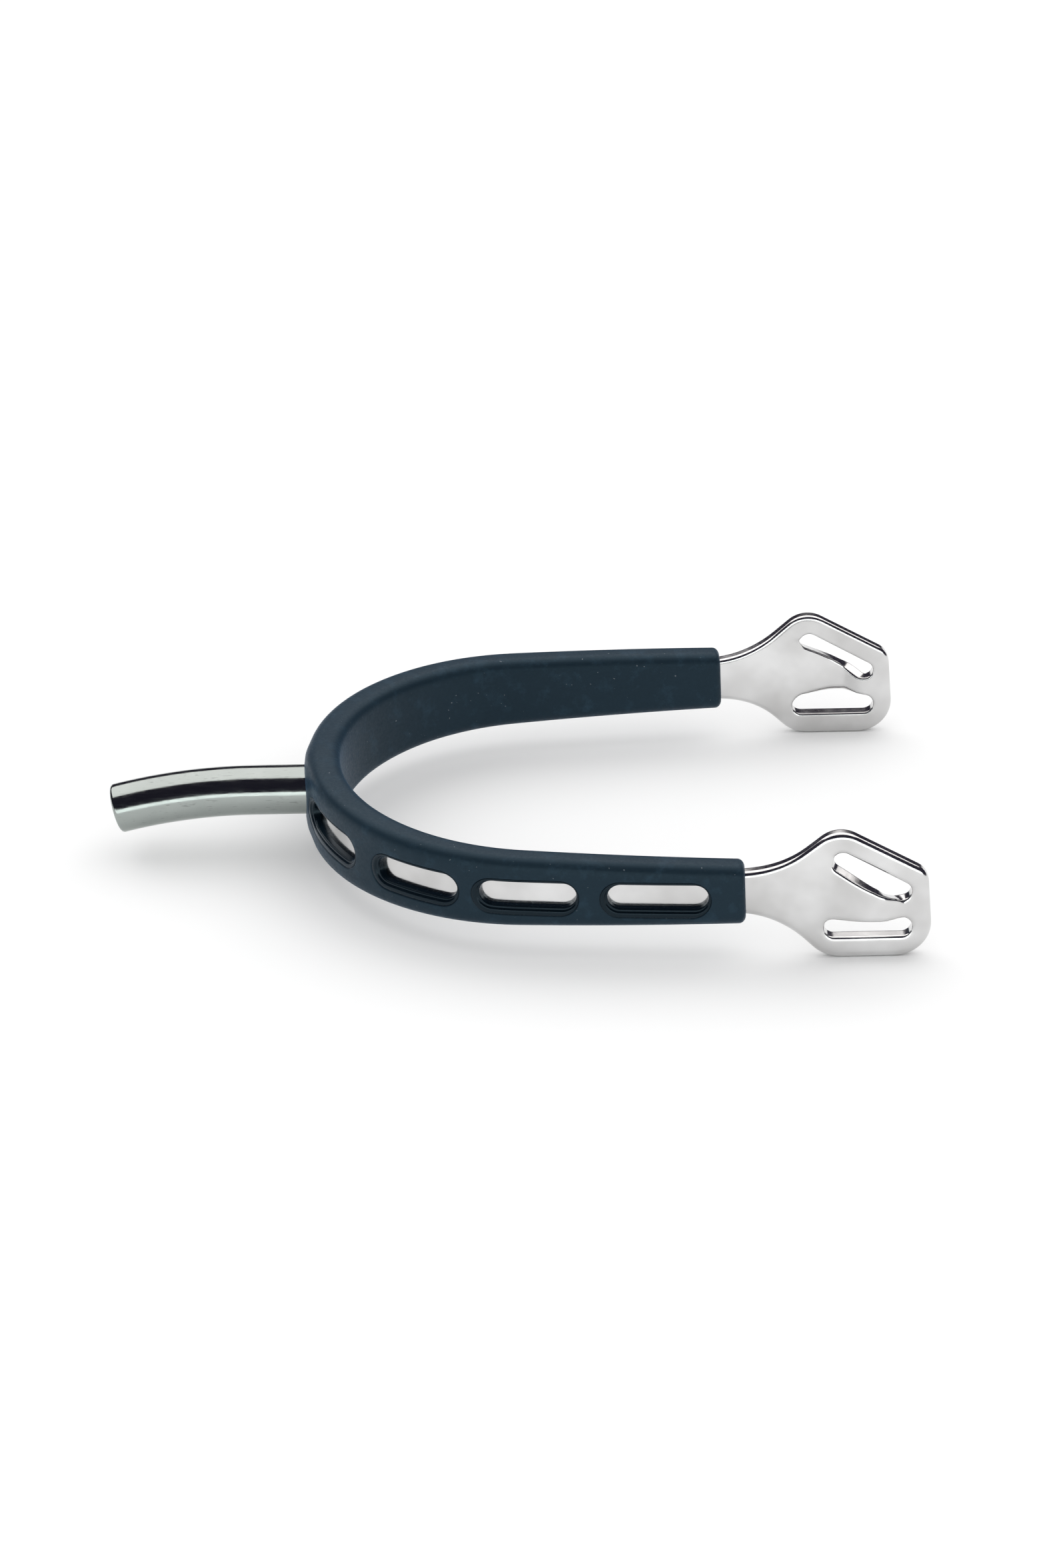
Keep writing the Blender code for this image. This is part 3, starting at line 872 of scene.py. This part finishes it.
def add_bump(tree, shader, height, distance, before=None):
    """A bump on the shader's normal, on top of another bump if one is given."""
    node = add_node(tree, "ShaderNodeBump", {"Strength": 1.0, "Distance": distance})
    tree.links.new(height, node.inputs["Height"])
    if before:
        tree.links.new(before, node.inputs["Normal"])
    tree.links.new(node.outputs["Normal"], shader.inputs["Normal"])
    return node.outputs["Normal"]


def object_coordinates(tree):
    return add_node(tree, "ShaderNodeTexCoord").outputs["Object"]


def steel_material():
    """Polished stainless steel with a faint buffing haze on the flats."""
    material, tree, shader = new_material("polished_steel")
    shader.inputs["Metallic"].default_value = 1.0
    place = object_coordinates(tree)
    clouds = noise(tree, place, 90.0, detail=3.0)
    haze = noise(tree, stretch(tree, place, (1.0, 1.0, 6.0)), 420.0, detail=4.0, roughness=0.6)
    tone = remap(tree, clouds, 0.3, 0.7, 0.0, 1.0)
    colour = blend_colour(tree, tone, *STEEL_TONES)
    tree.links.new(colour, shader.inputs["Base Color"])
    tree.links.new(remap(tree, haze, 0.3, 0.7, 0.11, 0.19), shader.inputs["Roughness"])
    ripple = add_bump(tree, shader, noise(tree, place, 160.0, detail=1.0), 0.022 * MM)
    add_bump(tree, shader, haze, 0.0025 * MM, before=ripple)
    return material


def neck_material():
    """Mirror-polished, slightly greenish steel, darker than the band's as painted shade for the shaded floor
    it reflects, with fine streaks along the rod and small nicks.
    """
    material, tree, shader = new_material("neck_steel")
    shader.inputs["Metallic"].default_value = 1.0
    place = object_coordinates(tree)
    clouds = noise(tree, place, 120.0, detail=3.0)
    streaks = noise(tree, stretch(tree, place, (0.12, 1.0, 1.0)), 2600.0, detail=3.0, roughness=0.6)
    # painted shade: the darkened steel tones
    colour = blend_colour(tree, clouds, *NECK_SHADED_TONES)
    scratches = noise(tree, stretch(tree, place, (0.12, 1.0, 1.0)), 4800.0, detail=1.0)
    scratched = blend_colour(tree, remap(tree, scratches, 0.66, 0.74, 0.0, 0.5), colour, SCRATCH_COLOUR)
    tree.links.new(scratched, shader.inputs["Base Color"])
    tree.links.new(remap(tree, streaks, 0.35, 0.75, 0.10, 0.22), shader.inputs["Roughness"])
    ripple = add_bump(tree, shader, noise(tree, stretch(tree, place, (0.3, 1.0, 1.0)), 260.0), 0.008 * MM)
    add_bump(tree, shader, streaks, 0.004 * MM, before=ripple)
    return material


def rubber_material():
    """Satin blue-black rubber with a fine moulded grain, pale scuffs, dust, and painted shade darkening the
    glossy insides of the openings.
    """
    material, tree, shader = new_material("rubber")
    place = object_coordinates(tree)
    clouds = noise(tree, place, 70.0, detail=3.0)
    grain = noise(tree, place, 5200.0, detail=2.0, roughness=0.7)
    pores = noise(tree, place, 1900.0, detail=2.0)
    specks = remap(tree, noise(tree, place, 1500.0, detail=1.0), 0.765, 0.80, 0.0, 0.35)
    scuffs = remap(tree, noise(tree, place, 300.0, detail=5.0, roughness=0.7), 0.52, 0.75, 0.0, 0.25)
    base = blend_colour(tree, clouds, *RUBBER_TONES)
    worn = blend_colour(tree, scuffs, base, SCUFF_COLOUR)
    dusty = blend_colour(tree, specks, worn, DUST_COLOUR)
    # painted shade: where the attribute is set, the colour turns near-black for the shade inside the
    # openings, and the rubber turns glossy
    well_gloss_and_shade = add_node(tree, "ShaderNodeAttribute", attribute_name=WELL).outputs["Fac"]
    tree.links.new(blend_colour(tree, well_gloss_and_shade, dusty, WELL_PAINTED_SHADE_COLOUR), shader.inputs["Base Color"])
    satin = remap(tree, pores, 0.3, 0.7, 0.40, 0.54)
    gloss = remap(tree, pores, 0.3, 0.7, 0.16, 0.28)
    tree.links.new(blend_value(tree, well_gloss_and_shade, satin, gloss), shader.inputs["Roughness"])
    shader.inputs["Specular IOR Level"].default_value = 0.28
    shader.inputs["Specular Tint"].default_value = (0.60, 0.84, 1.0, 1)
    shader.inputs["Sheen Weight"].default_value = 0.12
    shader.inputs["Sheen Roughness"].default_value = 0.4
    shader.inputs["Sheen Tint"].default_value = (0.3, 0.6, 1.0, 1)
    fine = add_bump(tree, shader, grain, 0.010 * MM)
    add_bump(tree, shader, clouds, 0.05 * MM, before=fine)
    return material


def floor_material():
    """Matte studio paper with a very faint unevenness."""
    material, tree, shader = new_material("studio_paper")
    place = object_coordinates(tree)
    tone = noise(tree, place, 3.0, detail=2.0)
    tree.links.new(blend_colour(tree, tone, *PAPER_TONES), shader.inputs["Base Color"])
    shader.inputs["Roughness"].default_value = 0.9
    shader.inputs["Specular IOR Level"].default_value = 0.1
    return material


# ---------------------------------------------------------------- studio


def make_floor():
    mesh = bmesh.new()
    bmesh.ops.create_grid(mesh, x_segments=4, y_segments=4, size=FLOOR_HALF_SIZE)
    data = bpy.data.meshes.new("studio_floor")
    mesh.to_mesh(data)
    mesh.free()
    data.materials.append(floor_material())
    floor = bpy.data.objects.new("studio_floor", data)
    floor.location.z = cad_box[0].z - FLOOR_GAP
    bpy.context.scene.collection.objects.link(floor)


def add_panel(name, middle, size, radiance, colour=(1, 1, 1)):
    """A soft light panel that faces the object."""
    width, height = size
    data = bpy.data.lights.new(name, "AREA")
    data.shape = "RECTANGLE"
    data.size, data.size_y = width, height
    data.energy = radiance * math.pi * width * height
    data.color = colour
    light = bpy.data.objects.new(name, data)
    light.location = middle
    light.rotation_mode = "QUATERNION"
    light.rotation_quaternion = (-Vector(middle)).to_track_quat("-Z", "Y")
    light.visible_camera = False
    bpy.context.scene.collection.objects.link(light)
    return light


def make_lights():
    """A large tilted panel from straight above to behind, a low one in front, and an even room."""
    elevation = TOP_PANEL_ELEVATION
    middle = TOP_PANEL_DISTANCE * Vector((0, math.cos(elevation), math.sin(elevation)))
    shine = add_panel("top_panel_shine", middle, TOP_PANEL_SIZE, TOP_SHINE, TOP_SHINE_COLOUR)
    shine.visible_diffuse = False
    glow = add_panel("top_panel_glow", middle, TOP_PANEL_SIZE, TOP_GLOW)
    glow.visible_glossy = False
    front = add_panel("front_panel", FRONT_PANEL_MIDDLE, FRONT_PANEL_SIZE, FRONT_SHINE, FRONT_COLOUR)
    front.visible_diffuse = False
    world = bpy.data.worlds.new("studio")
    world.use_nodes = True
    tree = world.node_tree
    background = tree.nodes["Background"]
    path = add_node(tree, "ShaderNodeLightPath")
    shade = blend_colour(tree, path.outputs["Is Glossy Ray"], ROOM_COLOUR, MIRRORED_ROOM_COLOUR)
    tree.links.new(shade, background.inputs["Color"])
    bpy.context.scene.world = world


def make_camera():
    """The camera at the catalogue view's angle, with its small roll."""
    aim = (cad_box[0] + cad_box[1]) / 2 + CAMERA_AIM
    azimuth, elevation = CAMERA_AZIMUTH, CAMERA_ELEVATION
    back = Vector((
        math.sin(azimuth) * math.cos(elevation),
        -math.cos(azimuth) * math.cos(elevation),
        math.sin(elevation),
    ))
    level = Vector((math.cos(azimuth), math.sin(azimuth), 0))
    rise = back.cross(level)
    right = level * math.cos(CAMERA_ROLL) + rise * math.sin(CAMERA_ROLL)
    up = rise * math.cos(CAMERA_ROLL) - level * math.sin(CAMERA_ROLL)
    data = bpy.data.cameras.new("camera")
    data.lens = CAMERA_LENS
    data.clip_start, data.clip_end = CAMERA_CLIP
    camera = bpy.data.objects.new("camera", data)
    turned = Matrix((right, up, back)).transposed().to_4x4()
    camera.matrix_world = Matrix.Translation(aim + CAMERA_DISTANCE * back) @ turned
    bpy.context.scene.collection.objects.link(camera)
    bpy.context.scene.camera = camera


make_camera()
make_band(steel_material())
make_neck(neck_material())
make_cover(rubber_material())
make_floor()
make_lights()
bpy.context.scene.view_settings.view_transform = "Standard"
